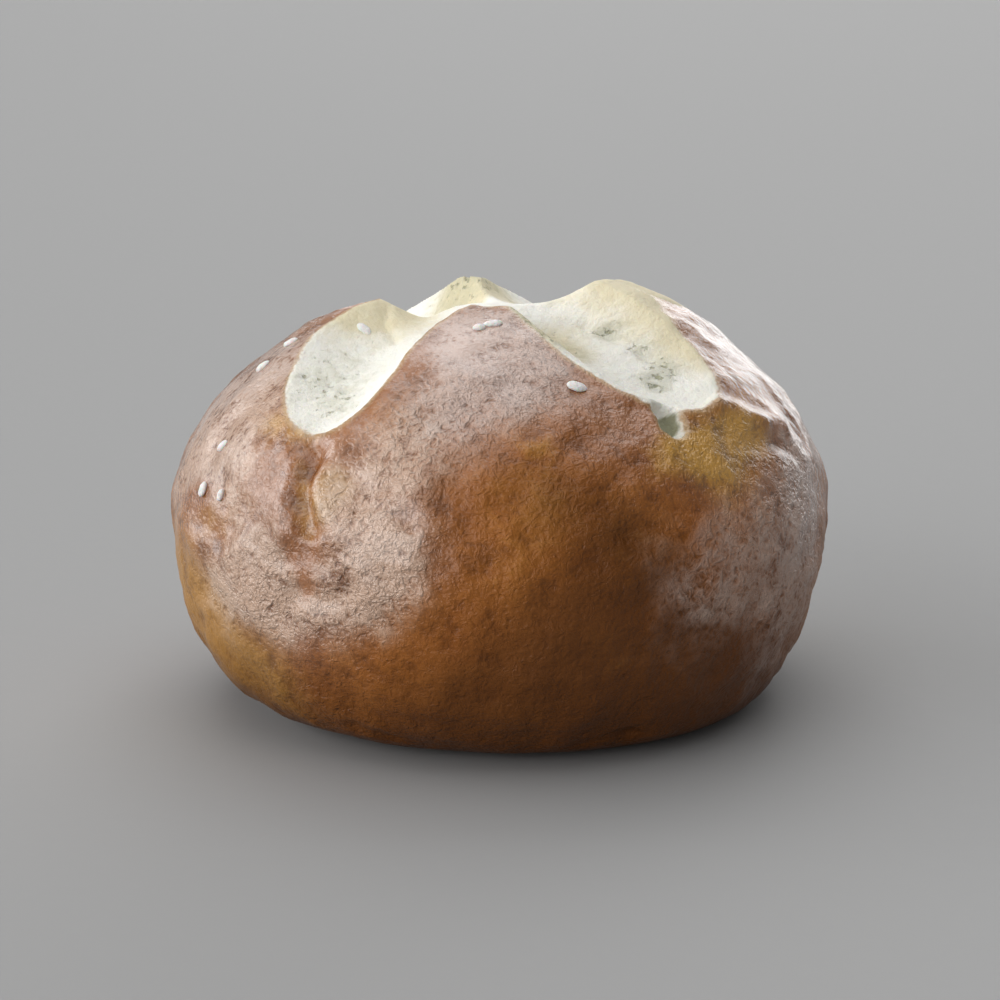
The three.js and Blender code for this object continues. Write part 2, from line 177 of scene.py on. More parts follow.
# Colours, painted sheen, painted shade and finish of the front. The back is alike, turned by half a turn.
PAINT = {
    # pale painted sheen on the glaze, standing in for its highlights
    "bloom": (
        Spot((-158, 48), 8, 0.9),
        Spot((-163, 36), 7, 0.7),
        Spot((-150, 41), 5.5, 0.9),
        Spot((-141, 34), 4, 0.4),
        Spot((-143, 23), 4.5, 0.7),
        Spot((-134, 24), 4.5, 0.8),
        Spot((-126, 22.5), 4, 0.8),
        Spot((-131, 30), 4, 0.5),
        Spot((-112, 25), 4.2, 0.8),
        Spot((-106, 30), 3.5, 0.6),
        Spot((-119, 24), 3, 0.5),
        Spot((-113, 38), 6, 0.8),
        Spot((-104, 44), 4, 0.55),
        Spot((-152, 31.5), 2.6, -0.9),
        Spot((-143, 29.5), 2.5, -0.4),
        Spot((-123, 30.3), 1.5, -0.7),
        Spot((-122, 25.3), 1.8, -0.8),
        Spot((-126, 40), 1.4, -0.9),
        Spot((-124.5, 36.5), 1.4, -0.9),
        Spot((-123, 33), 1.2, -0.7),
        Spot((-36, 30), 6, 0.35),
        Spot((-24, 37), 5, 0.4),
    ),
    # lilac grey painted sheen on the tips and the shoulders
    "mist": (
        Spot((-160, 50), 6, 0.8),
        Spot((-168, 44), 6, 0.7),
        Spot((-96, 55.5), 6, 1.1),
        Spot((-88, 51.5), 5, 1),
        Spot((-80, 51), 4, 0.3),
        Spot((-102, 48), 5.5, 0.7),
        Spot((-70, 46), 5, 0.15),
        Spot((-12, 49), 5, 0.6),
        Spot((-24, 36), 5, 0.75),
        Spot((-38, 27), 6, 0.55),
        Spot((-52, 29), 6, 0.4),
        Spot((-58, 23), 6, 0.35),
        Spot((-30, 18), 8, 0.7),
    ),
    # gold where the skin stretched last
    "gold": (
        Spot((-55, 42.5), 2.6, 0.8),
        Spot((-49, 41), 3.6, 0.95),
        Spot((-41, 42.5), 3.4, 0.85),
        Spot((-35, 43), 3, 0.6),
        Spot((-31, 41.5), 3, 0.35),
        Spot((-61, 41), 2.2, 0.5),
        Spot((-83, 43.5), 2.2, 0.4),
        Spot((-138, 44), 2, 0.8),
        Spot((-131, 43.5), 1.6, 0.6),
        Spot((-127, 40), 1, 0.4),
        Spot((-125.5, 38), 1, 0.4),
        Spot((-124.5, 36), 1, 0.4),
        Spot((-123.3, 34), 1, 0.45),
        Spot((-122, 32), 1, 0.45),
        Spot((-147, 31), 3, 0.4),
    ),
    # light golden brown low on the left
    "amber": (
        Spot((-153, 17), 8, 0.8),
        Spot((-147, 9), 7, 0.8),
        Spot((-134, 9), 6, 0.5),
        Spot((-168, 20), 7, 0.6),
        Spot((-108, 47), 4, 0.3),
        Spot((-85, 38), 6, 0.25),
        Spot((-119, 38.5), 1.8, 1.1),
        Spot((-120, 35.5), 1.5, 0.8),
    ),
    # darkest on the right
    "dark": (
        Spot((-70, 32), 5, 0.65),
        Spot((-75, 20), 8, 0.8),
        Spot((-60, 16), 9, 0.45),
        Spot((-44, 10), 9, 0.8),
        Spot((-66, 9), 8, 0.7),
        Spot((-92, 15), 7, 0.3),
        Spot((-98, 6), 9, 0.5),
        Spot((-80, 39), 4, 0.45),
        # painted shade in the crack below the front left arm
        Spot((-126, 39.5), 1.1, 0.6),
        Spot((-124.8, 36), 1.1, 0.6),
    ),
    # thick glaze, which shines
    "glaze": (
        Spot((-155, 42), 14, 1),
        Spot((-125, 36), 10, 0.9),
        Spot((-128, 25), 8, 0.8),
        Spot((-96, 54), 8, 1),
        Spot((-95, 45), 5, 0.4),
        Spot((-68, 46), 7, 0.5),
        Spot((-108, 32), 6, 0.7),
        Spot((-18, 46), 12, 1),
        Spot((-30, 32), 8, 0.5),
        Spot((-52, 40), 6, 0.4),
        Spot((-122, 32), 2.4, -0.9),
        Spot((-120.5, 38), 1.5, -0.5),
    ),
    # smooth skin, without the fine wrinkles
    "satin": (
        Spot((-160, 47), 9, 0.8),
        Spot((-117, 40), 4, 0.8),
        Spot((-103, 54.5), 6, 1),
        Spot((-150, 12), 9, 0.8),
        Spot((-76, 20), 8, 0.4),
        Spot((-100, 12), 9, 0.4),
        Spot((-50, 12), 9, 0.3),
    ),
    # painted grey-green shade deep in the cut, where the crumb also has pores
    "painted_crumb_shade": (
        Spot((-29.5, 56.6), 1.6, 0.85),
        Spot((-32, 54.5), 1.6, 0.85),
        Spot((-34.5, 52.5), 1.5, 0.85),
        Spot((-44, 51.8), 1.8, 0.85),
        Spot((-45, 50.5), 1.5, 0.6),
        Spot((-38, 51.5), 1.6, 0.7),
        Spot((-134, 49), 4.5, 0.4),
        Spot((-141, 51), 5, 0.4),
        Spot((-128, 48), 3, 0.25),
        Spot((-146, 53), 3, 0.3),
        Spot((106, 56.5), 6, 0.9),
        Spot((176, 58.7), 2.2, 0.6),
        Spot((0, 59), 4, -0.8),
    ),
    # yellower crumb of the steep walls
    "butter": (
        Spot((4, 55), 6, 1),
        Spot((10, 57.5), 5, 0.6),
        Spot((-16, 53), 5, 0.9),
        Spot((-28, 50.5), 4, 0.5),
        # yellower crumb on the back lobe's face, partly painted shade
        Spot((106, 57), 6, 1.2),
        Spot((178, 58.8), 2.5, 0.7),
        Spot((0, 59), 4, -1),
        Spot((-176, 55.5), 2.5, 0.3),
    ),
}
# Painted shade, dark and greenish, in the narrow gap of the tear. The back has no tear.
TEAR_SHADE = (Spot((-52.4, 46.6), 0.8, 1.6), Spot((-53, 45.4), 0.7, 1.6))
# Crumb shows this much further past the edge of the cut, in millimetres.
PALE_EDGES = (Spot((14, 54), 7, 6), Spot((108, 56.5), 6, 5))


def smooth(value, start, end):
    """0 at start and 1 at end, level at both."""
    share = np.clip((value - start) / (end - start), 0, 1)
    return share * share * (3 - 2 * share)


def mix(first, second, share):
    return first + (second - first) * share


def soft_floor(height, rounding):
    """Lifts the underside to the foot plane: 0 below -rounding, unchanged above rounding."""
    share = np.clip(0.5 + 0.5 * height / rounding, 0, 1)
    return height * share + rounding * share * (1 - share)


def to_point(radius, height, azimuth):
    return np.stack([radius * np.cos(azimuth), radius * np.sin(azimuth), height + 0 * azimuth], axis=-1)


def profile(polar, azimuth):
    """Distance from the axis and height of the uncut roll. The polar angle is 0 at the top."""
    sine, cosine = np.sin(polar), np.cos(polar)
    down = np.maximum(-cosine, 0)
    rounding = FOOT_ROUNDING + FOOT_SWAY * np.cos(azimuth - math.radians(FOOT_SWAY_AZIMUTH))
    hanging = WAIST_HEIGHT - UNDER_DEPTH * down**UNDER_FULLNESS
    above = cosine >= 0
    radius = np.where(above, ROLL_RADIUS * sine, ROLL_RADIUS * np.maximum(sine, 0) ** UNDER_FULLNESS)
    height = np.where(above, WAIST_HEIGHT + DOME_HEIGHT * cosine, soft_floor(hanging, rounding))
    return radius, height


def outward(polar, azimuth):
    """The uncut roll's normal."""
    radius_above, height_above = profile(polar - NUDGE, azimuth)
    radius_below, height_below = profile(polar + NUDGE, azimuth)
    normal = to_point(height_above - height_below, radius_below - radius_above, azimuth)
    return normal / np.linalg.norm(normal, axis=-1, keepdims=True)


def polar_at(height):
    """The polar angle of a height on the uncut roll, well above the foot."""
    rise = height - WAIST_HEIGHT
    if rise >= 0:
        return math.acos(min(rise / DOME_HEIGHT, 1))
    return math.pi - math.acos((-rise / UNDER_DEPTH) ** (1 / UNDER_FULLNESS))


def place(at):
    """The point of the uncut roll at [azimuth, height]."""
    azimuth = math.radians(at[0])
    radius, height = profile(polar_at(at[1]), azimuth)
    return to_point(radius, height, azimuth)


def line_distance(points, start, end):
    along = end - start
    share = np.clip((points - start) @ along / (along @ along), 0, 1)
    return np.linalg.norm(points - start - share[..., None] * along, axis=-1)


def cross_section(arm, across):
    """Depth from edge to valley to edge, 0 to 1. across: -1 at the left edge, 1 at the right one."""
    left = across < arm.valley
    from_edge = np.where(left, (across + 1) / (arm.valley + 1), (1 - across) / (1 - arm.valley))
    steep = np.where(left, arm.left.steep, arm.right.steep)
    return np.sin(math.pi / 2 * np.clip(from_edge, 0, 1) ** steep) ** 2


def arm_at(arm, radius, azimuth):
    """One arm at places on the dome: its depth, how far inside its outline they are, and its lip."""
    turn = azimuth - np.radians(arm.azimuth + arm.twist * (arm.reach - radius))
    along = np.maximum(radius * np.cos(turn), 0)
    sideways = np.where(along > 0, radius * np.sin(turn), radius * np.sign(np.sin(turn)))
    share = along / arm.reach
    half = np.where(sideways < 0, arm.left.half, arm.right.half)
    waist = np.where(sideways < 0, arm.left.waist, arm.right.waist)
    half = half * mix(waist, 1, smooth(share, 0, WAIST_END))
    tip = share**TIP_ROUNDNESS
    level = 1 - (sideways / half) ** 2 - tip
    tip_slope = TIP_ROUNDNESS * share ** (TIP_ROUNDNESS - 1) / arm.reach
    slope = np.sqrt((2 * sideways / half**2) ** 2 + tip_slope**2 + 1 / half**2)
    inside = level / slope
    lean = smooth(0.5 + 0.5 * sideways / arm.left.half, 0, 1)
    lip = mix(arm.left.lip, arm.right.lip, lean) * smooth(radius, LIP_START, 2 * LIP_START)
    lip = lip * np.exp(-np.abs(inside) / np.where(inside < 0, LIP_OUTSIDE, LIP_INSIDE))
    across = sideways / (half * np.sqrt(np.maximum(1 - tip, NUDGE)))
    own = smooth(along, 0, FULL_DEPTH_AT * arm.reach)
    end_rise = np.maximum(1 - share**FLOOR_ROUNDNESS, 0) ** FLOOR_RISE
    depth = mix(PLATEAU_DEPTH, arm.depth, own) * end_rise * cross_section(arm, across)
    return np.where(inside > 0, depth, 0), inside, lip


def soft_deeper(first, second):
    """The larger of two depths, rounded where they are about the same."""
    share = np.clip(0.5 + 0.5 * (first - second) / ARM_BLEND, 0, 1)
    blended = mix(second, first, share) + ARM_BLEND * share * (1 - share)
    return np.where(np.minimum(first, second) <= 0, np.maximum(first, second), blended)


def cut_at(points, radius, azimuth):
    """The cut at places on the dome: its rise, and how far inside the crust's edge they are."""
    start, level = PLATEAU_EDGE
    depth = PLATEAU_DEPTH * smooth(start - radius, 0, start - level)
    inside = (start + level) / 2 - radius
    lip = np.zeros_like(radius)
    for arm in CUT_ARMS:
        arm_depth, arm_inside, arm_lip = arm_at(arm, radius, azimuth)
        depth = soft_deeper(depth, arm_depth)
        inside = np.maximum(inside, arm_inside)
        lip = np.maximum(lip, arm_lip)
    from_tear = line_distance(points, place(TEAR.start), place(TEAR.end))
    in_tear = np.clip((1 - from_tear / TEAR.width) * TEAR_STEEPNESS, 0, 1)
    depth = np.maximum(depth, -TEAR.rise * np.sin(math.pi / 2 * in_tear))
    inside = np.maximum(inside, TEAR.width - from_tear)
    return lip - depth, inside


def spots_at(points, spots):
    """The sum of soft round patches at points of the uncut roll."""
    total = np.zeros(points.shape[:-1])
    for spot in spots:
        distance = np.linalg.norm(points - place(spot.at), axis=-1)
        total += spot.amount * np.exp(-0.5 * (distance / spot.across) ** 2)
    return total


def paint_at(points, spots):
    """Soft patches at the front and again, half a turn round, at the back. From 0 to 1."""
    turned = points * (-1, -1, 1)
    return np.clip(spots_at(points, spots) + spots_at(turned, spots), 0, 1)


def creases_at(points):
    """The sum of all creases, each a little crooked."""
    total = np.zeros(points.shape[:-1])
    crooked = points + CROOK * np.sin(points[..., [1, 2, 0]] * (2 * math.pi / CROOK_LENGTH))
    for crease in CREASES:
        distance = line_distance(crooked, place(crease.start), place(crease.end))
        total += crease.rise * np.exp(-((distance / crease.width) ** 2))
    return total


def lumps_at(points):
    """Plane waves in directions spread evenly over a sphere, coarse to fine."""
    total = np.zeros(points.shape[:-1])
    for wavelength, rise in LUMPS:
        for index in range(WAVES):
            height = 1 - 2 * (index + 0.5) / WAVES
            direction = to_point(math.sqrt(1 - height * height), height, index * GOLDEN_ANGLE)
            phase = 2 * math.pi / wavelength * (points @ direction) + index * index
            total += rise / math.sqrt(WAVES) * np.sin(phase)
    return total


def surface(polar, azimuth):
    """Points of the baked roll, their places on the uncut roll, and how far inside the cut they are."""
    radius, height = profile(polar, azimuth)
    points = to_point(radius, height, azimuth)
    cut_rise, inside = cut_at(points, radius, azimuth)
    above = height > WAIST_HEIGHT
    rise = spots_at(points, SWELLS) + creases_at(points) + lumps_at(points)
    rise += np.where(above, cut_rise, 0)
    rise *= smooth(height, 0, FOOT_FADE)
    baked = points + outward(polar, azimuth) * rise[..., None]
    outside = -ROLL_RADIUS
    return baked, points, np.where(above, inside, outside)


# ---------------- salt


class Grain(NamedTuple):
    """A salt grain at a place [azimuth, height], turned in the surface."""

    at: tuple
    length: float
    width: float
    turn: float


FRONT_SALT = (
    Grain((-158.6, 55.6), 2.6, 1.5, 10),
    Grain((-164.5, 51.6), 2.4, 1.3, 60),
    Grain((-160.6, 48.8), 2.3, 1.2, 70),
    Grain((-150.4, 34.4), 2.2, 1.4, 90),
    Grain((-144.5, 34.6), 1.8, 1.1, 80),
    Grain((-150.3, 40.1), 2.3, 1.3, 40),
    Grain((-98, 55.9), 1.7, 1.5, 0),
    Grain((-92.7, 56.2), 2.6, 1.4, 5),
    Grain((-72, 50.1), 2.7, 1.7, -20),
)
BACK_SALT_COUNT = 7  # the same sprinkling goes on round the back
BACK_SALT_AZIMUTHS = (15, 165)
BACK_SALT_HEIGHTS = (36, 55)
BACK_SALT_SIZE = (2.3, 1.4)
GRAIN_THICKNESS = 0.9
GRAIN_PROUD = 0.2  # of its half thickness, from the crust to the grain's middle


def all_salt():
    """The grains at the front, then those at the back in even steps, at heights a golden step apart."""
    golden = GOLDEN_ANGLE / (2 * math.pi)
    for grain in FRONT_SALT:
        yield grain
    for index in range(BACK_SALT_COUNT):
        mixed = index * golden % 1
        azimuth = mix(*BACK_SALT_AZIMUTHS, (index + 0.5) / BACK_SALT_COUNT)
        yield Grain((azimuth, mix(*BACK_SALT_HEIGHTS, mixed)), *BACK_SALT_SIZE, 180 * mixed)


def grain_frame(grain):
    """The middle of a grain, and the frame that it lies in as the columns of a matrix."""
    azimuth, polar = math.radians(grain.at[0]), polar_at(grain.at[1])
    polars = np.array([polar, polar + NUDGE, polar])
    azimuths = np.array([azimuth, azimuth, azimuth + NUDGE])
    spot, below, beside = surface(polars, azimuths)[0]
    up = np.cross(below - spot, beside - spot)
    up /= np.linalg.norm(up)
    side = (beside - spot) / np.linalg.norm(beside - spot)
    axes = np.stack([side, np.cross(up, side), up], axis=1)
    turn = math.radians(grain.turn)
    cosine, sine = math.cos(turn), math.sin(turn)
    turned = axes @ [[cosine, -sine, 0], [sine, cosine, 0], [0, 0, 1]]
    return spot + up * GRAIN_PROUD * GRAIN_THICKNESS / 2, turned


# ---------------- nodes


class Value:
    """A node's output. Arithmetic on it adds Math nodes to its tree."""

    def __init__(self, tree, socket):
        self.tree = tree
        self.socket = socket

    def _math(self, operation, *operands):
        return self.tree.add("ShaderNodeMath", {"operation": operation}, dict(enumerate(operands)))

    def __add__(self, other):
        return self._math("ADD", self, other)

    def __sub__(self, other):
        return self._math("SUBTRACT", self, other)

    def __rsub__(self, other):
        return self._math("SUBTRACT", other, self)

    def __mul__(self, other):
        return self._math("MULTIPLY", self, other)

    def __rtruediv__(self, other):
        return self._math("DIVIDE", other, self)

    def __abs__(self):
        return self._math("ABSOLUTE", self)

    __radd__ = __add__
    __rmul__ = __mul__


class Tree:
    """Adds nodes to a node tree."""

    def __init__(self, tree):
        self.tree = tree
        self.tree.nodes.clear()

    def add(self, kind, settings=None, inputs=None, output=0):
        """One node of a kind. Its settings are made first, then its sockets are set or linked."""
        node = self.tree.nodes.new(kind)
        for name, setting in (settings or {}).items():
            setattr(node, name, setting)
        for name, value in (inputs or {}).items():
            if isinstance(value, Value):
                self.tree.links.new(value.socket, node.inputs[name])
            else:
                node.inputs[name].default_value = value
        return Value(self, node.outputs[output]) if node.outputs else node

    def step(self, value, start, end):
        """0 at start and 1 at end, level at both."""
        inputs = {"Value": value, "From Min": start, "From Max": end}
        return self.add("ShaderNodeMapRange", {"interpolation_type": "SMOOTHSTEP"}, inputs)

    def noise(self, vector, size, detail=2.0, roughness=0.5, distortion=0.0):
        """Soft noise round 0, mostly from -1 to 1, with lumps of about a size in metres."""
        inputs = {"Vector": vector, "Scale": 1 / size, "Detail": detail, "Roughness": roughness}
        return self.add("ShaderNodeTexNoise", None, {**inputs, "Distortion": distortion}) * 3 - 1.5

    def mix(self, first, second, share):
        """From one colour to another."""
        settings = {"data_type": "RGBA", "clamp_factor": True}
        return self.add("ShaderNodeMix", settings, {0: share, 6: first, 7: second}, output=2)

    def vector_math(self, operation, inputs, output=0):
        return self.add("ShaderNodeVectorMath", {"operation": operation}, inputs, output)

    def dot(self, first, second):
        return self.vector_math("DOT_PRODUCT", {0: first, 1: second}, "Value")

    def scaled(self, vector, factor):
        return self.vector_math("SCALE", {"Vector": vector, "Scale": factor})


class ShaderTree(Tree):
    """A material's tree."""

    def attribute(self, name):
        return self.add("ShaderNodeAttribute", {"attribute_name": name}, output=2)

    def bump(self, height, depth):
        """The normal of relief whose height runs from about -1 to 1, for a depth in metres."""
        return self.add("ShaderNodeBump", None, {"Strength": 1.0, "Distance": depth, "Height": height})


class GeometryTree(Tree):
    """A Geometry Nodes tree with named inputs."""

    def __init__(self, name, inputs):
        super().__init__(bpy.data.node_groups.new(name, "GeometryNodeTree"))
        inputs = {"Geometry": "NodeSocketGeometry", **inputs, "Material": "NodeSocketMaterial"}
        for label, kind in inputs.items():
            self.tree.interface.new_socket(label, in_out="INPUT", socket_type=kind)
        self.tree.interface.new_socket("Geometry", in_out="OUTPUT", socket_type="NodeSocketGeometry")
        group_input = self.tree.nodes.new("NodeGroupInput")
        self.inputs = {label: Value(self, group_input.outputs[label]) for label in inputs}

    def attribute(self, name, kind="FLOAT"):
        return self.add("GeometryNodeInputNamedAttribute", {"data_type": kind}, {"Name": name})

    def moved_out(self, geometry, rise):
        """Moves the points along their normals by a rise in metres."""
        offset = self.scaled(self.add("GeometryNodeInputNormal"), rise)
        return self.add("GeometryNodeSetPosition", None, {"Geometry": geometry, "Offset": offset})

    def end(self, geometry):
        """The tree ends in real geometry with its material."""
        real = self.add("GeometryNodeRealizeInstances", None, {"Geometry": geometry})
        inputs = {"Geometry": real, "Material": self.inputs["Material"]}
        finished = self.add("GeometryNodeSetMaterial", None, inputs)
        self.add("NodeGroupOutput", None, {"Geometry": finished})

    def baked(self, mesh, **values):
        """The tree's result on a mesh, as a plain smooth mesh. Values are inputs, named in lower case."""
        start = new_object("start", mesh)
        modifier = start.modifiers.new("build", "NODES")
        modifier.node_group = self.tree
        for item in self.tree.interface.items_tree:
            label = item.name.lower().replace(" ", "_")
            if label in values:
                modifier[item.identifier] = values[label]
        depsgraph = bpy.context.evaluated_depsgraph_get()
        result = bpy.data.meshes.new_from_object(
            start.evaluated_get(depsgraph), preserve_all_data_layers=True, depsgraph=depsgraph
        )
        start.modifiers.remove(modifier)
        bpy.data.objects.remove(start)
        result.shade_smooth()
        return result


def new_material(name, build, settings):
    """A material whose nodes are made by a function."""
    material = bpy.data.materials.new(name)
    material.use_nodes = True
    build(ShaderTree(material.node_tree), settings)
    return material


def new_object(name, mesh):
    made = bpy.data.objects.new(name, mesh)
    bpy.context.scene.collection.objects.link(made)
    return made


def mesh_from(points, faces=()):
    """A mesh from points in millimetres."""
    mesh = bpy.data.meshes.new("shape")
    mesh.from_pydata((np.asarray(points) * MM).tolist(), [], np.asarray(faces, int).tolist())
    return mesh


def paint(mesh, name, values):
    """Stores one number, or one vector, for each point of a mesh."""
    values = np.asarray(values, np.float32)
    kind, field = ("FLOAT_VECTOR", "vector") if values.ndim > 1 else ("FLOAT", "value")
    mesh.attributes.new(name, kind, "POINT").data.foreach_set(field, values.ravel())


# ---------------- settings


def colour(name, description, default):
    return FloatVectorProperty(
        name=name, description=description, default=default, subtype="COLOR", min=0, max=1
    )


def length(name, description, millimetres):
    return FloatProperty(
        name=name, description=description, default=millimetres * MM, unit="LENGTH", min=0, precision=5
    )


class RollSettings(bpy.types.PropertyGroup):
    """Colours and finish of the roll."""

    chestnut: colour("Chestnut", "Brown of most of the crust", (0.25, 0.076, 0.012))
    toffee: colour("Toffee", "Lighter brown that mottles the crust", (0.46, 0.165, 0.028))
    # Umber also lies in the wrinkles' hollows as painted shade.
    umber: colour("Umber", "Darkest brown of the crust", (0.105, 0.032, 0.004))
    amber: colour("Amber", "Light golden brown of the least baked side", (0.45, 0.235, 0.045))
    gold: colour("Gold", "Gold where the skin stretched last", (0.60, 0.31, 0.035))
    # Painted sheen: a pale colour that stands in for highlights on the glaze.
    bloom: colour("Bloom", "Pale bloom on the glaze", (0.78, 0.58, 0.45))
    # Painted sheen, lilac grey.
    mist: colour("Mist", "Lilac grey bloom on the tips and the shoulders", (0.62, 0.49, 0.43))
    rim: colour("Rim", "Tan line along the crust's edge", (0.66, 0.48, 0.25))
    cream: colour("Cream", "Crumb in the cut", (0.95, 0.93, 0.85))
    butter: colour("Butter", "Yellower crumb next to the crust", (0.78, 0.68, 0.43))
    # Painted shade in the tear's narrow gap.
    slot: colour("Slot", "Dark slot in the tear", (0.26, 0.26, 0.15))
    # Painted shade, grey green, deep in the cut and in the pores.
    painted_crumb_shade: colour("Moist", "Grey green crumb deep in the cut", (0.36, 0.36, 0.23))
    wrinkle_size: length("Wrinkle Size", "Width of the crust's wrinkles", 3.2)
    wrinkle_depth: length("Wrinkle Depth", "Depth of the crust's wrinkles", 0.42)
    pore_size: length("Pore Size", "Distance between the crumb's pores", 2.2)
    pore_depth: length("Pore Depth", "Depth of the crumb's pores", 0.5)
    divisions: IntProperty(
        name="Divisions",
        description="Divisions along each edge of the cube that is rounded into the roll",
        default=128,
        min=8,
        max=128,
    )


class SaltSettings(bpy.types.PropertyGroup):
    """Looks of the salt grains."""

    salt: colour("Salt", "Near white of the salt", (0.94, 0.92, 0.89))
    unevenness: length("Unevenness", "How far the grains are from smooth pebbles", 0.12)
    seed: IntProperty(name="Seed", description="Changes the shape of every grain", default=4, min=0)


class StageSettings(bpy.types.PropertyGroup):
    """Floor, light and camera."""

    floor: colour("Floor", "Pale grey of the floor", (0.357, 0.357, 0.357))
    ambient: FloatProperty(
        name="Ambient", description="Brightness of the even light from all round", default=0.25, min=0
    )
    lens: FloatProperty(
        name="Lens",
        description="Focal length of the camera",
        default=84.1,
        unit="CAMERA",
        min=10,
        max=300,
    )


# ---------------- the roll


def rounded_cube(divisions):
    """Directions and faces of a cube whose faces are grids, spread evenly and blown up into a sphere."""
    shape = bmesh.new()
    bmesh.ops.create_cube(shape, size=2)
    bmesh.ops.subdivide_edges(shape, edges=shape.edges, cuts=divisions - 1, use_grid_fill=True)
    directions = np.array([vertex.co for vertex in shape.verts])
    faces = np.array([[vertex.index for vertex in face.verts] for face in shape.faces])
    shape.free()
    directions = np.tan(directions * math.pi / 4)
    return directions / np.linalg.norm(directions, axis=1, keepdims=True), faces


def roll_mesh(settings):
    """The roll's form, painted with what its finish needs."""
    directions, faces = rounded_cube(settings.divisions)
    polar = np.arccos(np.clip(directions[:, 2], -1, 1))
    azimuth = np.arctan2(directions[:, 1], directions[:, 0])
    baked, places, inside = surface(polar, azimuth)
    inside += spots_at(places, PALE_EDGES)
    mesh = mesh_from(baked, faces)
    mesh.shade_smooth()
    paint(mesh, "inside", inside)
    paint(mesh, "height", places[:, 2])
    # painted shade in the tear's narrow gap, at the front only
    paint(mesh, "slot", spots_at(places, TEAR_SHADE))
    for name, spots in PAINT.items():
        paint(mesh, name, paint_at(places, spots))
    return mesh


CRUMB_COLOURS = ("cream", "butter", "painted_crumb_shade", "slot")
CRUST_COLOURS = ("chestnut", "toffee", "umber", "amber", "gold", "bloom", "mist", "rim")

# sizes and depths of the patterns in the roll's finish, in metres
PATCH_SIZE = 9 * MM  # broad mottling of the crust
MOTTLE_SIZE = 2.4 * MM  # its fine mottling
FOLD_SIZE = 3 * MM
CRINKLE_SIZE = 0.75 * MM
CRUST_BUMP = 0.5 * MM
RAGGED_SIZE = 1.8 * MM  # of the line between crust and crumb
CRUMB_PATCH_SIZE = 4 * MM
CRUMB_MOTTLE_SIZE = 1.2 * MM
FINE_PORE_SIZE = 1.1 * MM
CRUMB_BUMP = 0.2 * MM
CRUMB_GLOW = 1 * MM  # how far light goes into the crumb


class Gloss(NamedTuple):
    """How the crust shines. uneven: how much its roughness varies."""

    roughness: float
    uneven: float
    specular: float
    coat: float


DRY = Gloss(0.38, 0.08, 0.25, 0)
GLAZED = Gloss(0.2, 0.05, 0.95, 0.6)
COAT_ROUGHNESS = 0.22
COAT_IOR = 1.7


def leather(tree, place, size):
    """Leathery relief round 0: soft folds, creased where two of them meet."""
    folds = tree.noise(place, 1.5 * size, detail=3, roughness=0.55)
    creases = abs(tree.noise(place, 1.3 * size, detail=2))
    return 0.7 * folds + 0.5 * creases - 0.2


def crinkles(tree, place, size):
    """Fine crinkles round 0, as in shrunk skin: narrow crests that wander, on a rough ground."""
    crests = abs(tree.noise(place, 1.7 * size, detail=2, roughness=0.6, distortion=0.4))
    rough = tree.noise(place, 0.9 * size, detail=3, roughness=0.6)
    return 0.4 - 1.4 * crests + 0.5 * rough


def relief_tree():
    """Wrinkles in the crust and pores in the crumb, dying out towards the foot."""
    sizes = ("Wrinkle Size", "Wrinkle Depth", "Pore Size", "Pore Depth")
    tree = GeometryTree("roll relief", {label: "NodeSocketFloat" for label in sizes})
    place = tree.add("GeometryNodeInputPosition")
    wrinkle_size, wrinkle_depth, pore_size, pore_depth = (tree.inputs[label] for label in sizes)
    rough = 1 - 0.75 * tree.attribute("satin")
    crust = leather(tree, place, wrinkle_size) * wrinkle_depth * rough
    pores = tree.step(tree.noise(place, pore_size, detail=2) + 0.6 * tree.attribute("painted_crumb_shade"), 0.6, 1.1)
    crumb = 0.3 * tree.noise(place, 1.6 * pore_size, detail=2) * pore_depth - pores * pore_depth
    in_cut = tree.step(tree.attribute("inside"), -0.3, 0.6)
    free = tree.step(tree.attribute("height"), 1, FOOT_FADE)
    rise = (crust * (1 - in_cut) + crumb * in_cut) * free
    tree.end(tree.moved_out(tree.inputs["Geometry"], rise))
    return tree


